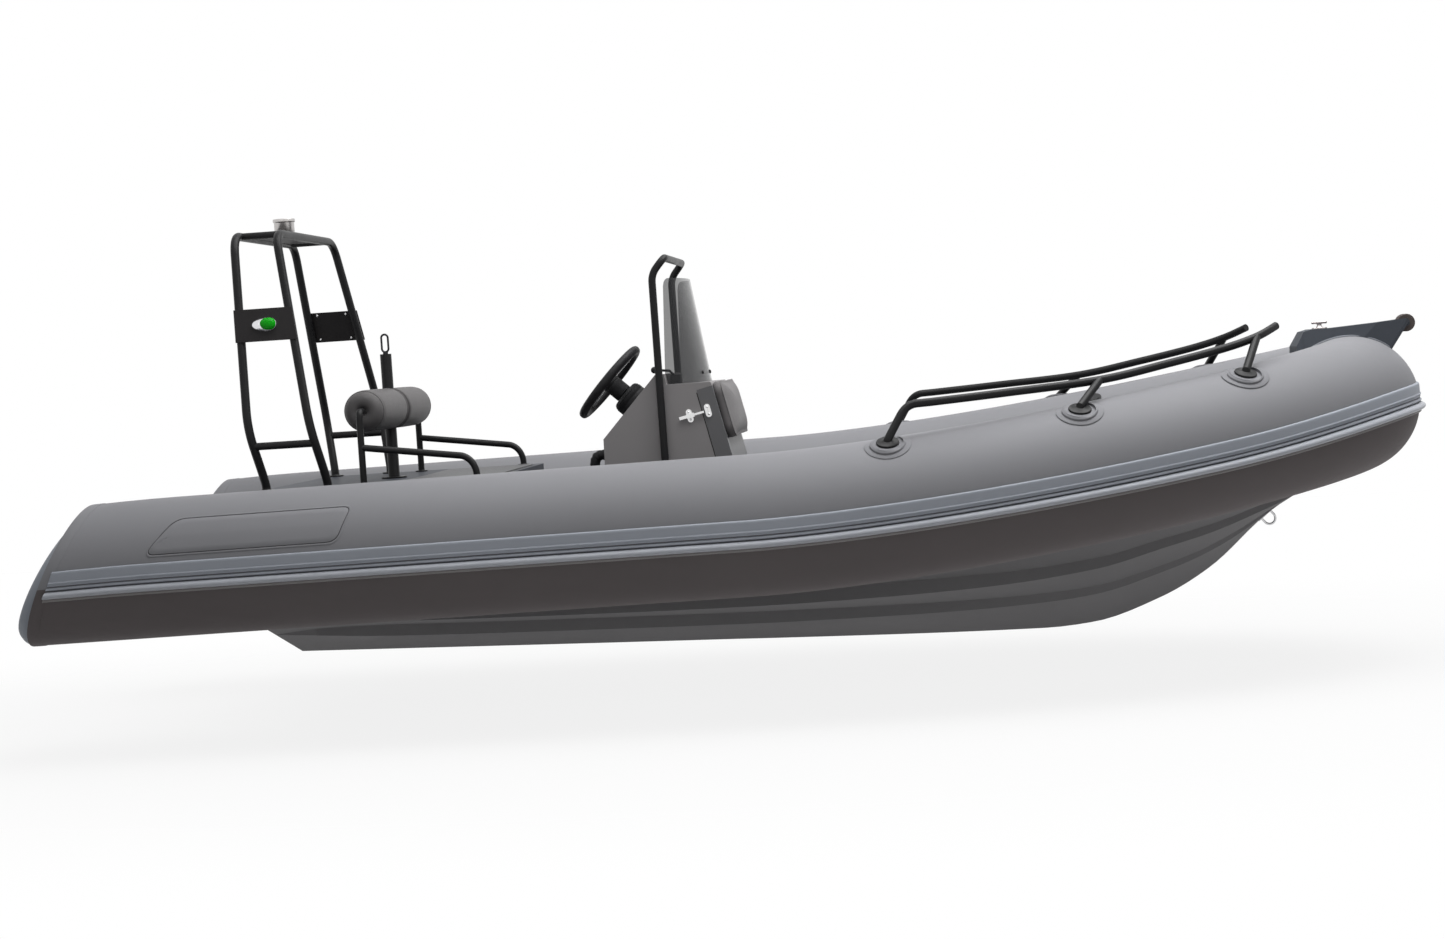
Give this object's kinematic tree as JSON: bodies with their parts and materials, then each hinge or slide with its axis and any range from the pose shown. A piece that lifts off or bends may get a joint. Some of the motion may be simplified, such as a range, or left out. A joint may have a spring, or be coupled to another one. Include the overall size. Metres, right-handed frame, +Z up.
{
  "type": "rigid inflatable boat",
  "caption": "Rigid inflatable boat with a V hull, grey tube collar, steering console, stern bench with bolster and tow pole, light arch and bow rails.",
  "frame": {"origin": "on the centre plane amidships, at the resting waterline", "axes": "+X to the bow, +Y to port, +Z up"},
  "size_m": [5.139, 2.2342, 1.7556],
  "materials": {
    "collar": "matte",
    "cap": "matte",
    "fender": "satin",
    "hull": "satin",
    "deck": "matte",
    "cushion": "matte",
    "console": "satin",
    "stainless": "polished",
    "screen": "gloss",
    "lens_green": "gloss",
    "lens_red": "gloss",
    "black_plastic": "matte",
    "black_pipe": "satin",
    "pad": "matte"
  },
  "bodies": {
    "boat": {"hull": "hull", "sole_panel": "deck", "transom_board": "hull", "tube_starboard": "collar", "tube_port": "collar", "tube_bow": "collar", "cap_starboard": "cap", "cap_port": "cap", "fender_starboard": "fender", "fender_port": "fender", "stern_bench": "deck", "bench_cushion": "cushion", "seat_frame": "black_pipe", "bolster_starboard": "cushion", "bolster_port": "cushion", "ski_pole": "black_pipe", "ski_hook": "stainless", "arch_frame": "black_pipe", "arch_plate_starboard": "black_pipe", "arch_plate_port": "black_pipe", "light_starboard": "lens_green", "light_port": "lens_red", "arch_top_plate": "black_pipe", "mast_light": "stainless", "console_body": "console", "latch_lever": "stainless", "windscreen": "screen", "grab_rail": "black_pipe", "helm_base": "black_plastic", "throttle": "black_plastic", "rigging_boot": "black_plastic", "bow_rail_starboard": "black_pipe", "bow_rail_port": "black_pipe", "rail_pads_starboard": "pad", "rail_pads_port": "pad", "bow_step": "cap", "bow_cleat": "black_pipe", "bow_eye": "stainless", "valve_starboard": "black_plastic", "valve_port": "black_plastic"},
    "wheel": {"steering_wheel": "black_plastic"},
    "hatch": {"console_hatch": "console", "console_cushion": "cushion", "latch_strike": "stainless"},
    "roller": {"bow_roller": "black_plastic"}
  },
  "joints": [
    {"name": "steering", "type": "hinge", "parent": "boat", "child": "wheel", "pos_m": [-0.49397, 0, 0.77321], "axis": [-0.737, 0, 0.6759], "range_deg": [-540, 540]},
    {"name": "hatch_hinge", "type": "hinge", "parent": "boat", "child": "hatch", "pos_m": [0.00385, 0.3153, 0.14], "axis": [-0.2207, 0, 0.9753], "range_deg": [0, 105]},
    {"name": "roller_spin", "type": "hinge", "parent": "boat", "child": "roller", "pos_m": [2.52, 0, 0.80375], "axis": [0, 1, 0], "continuous": true}
  ]
}
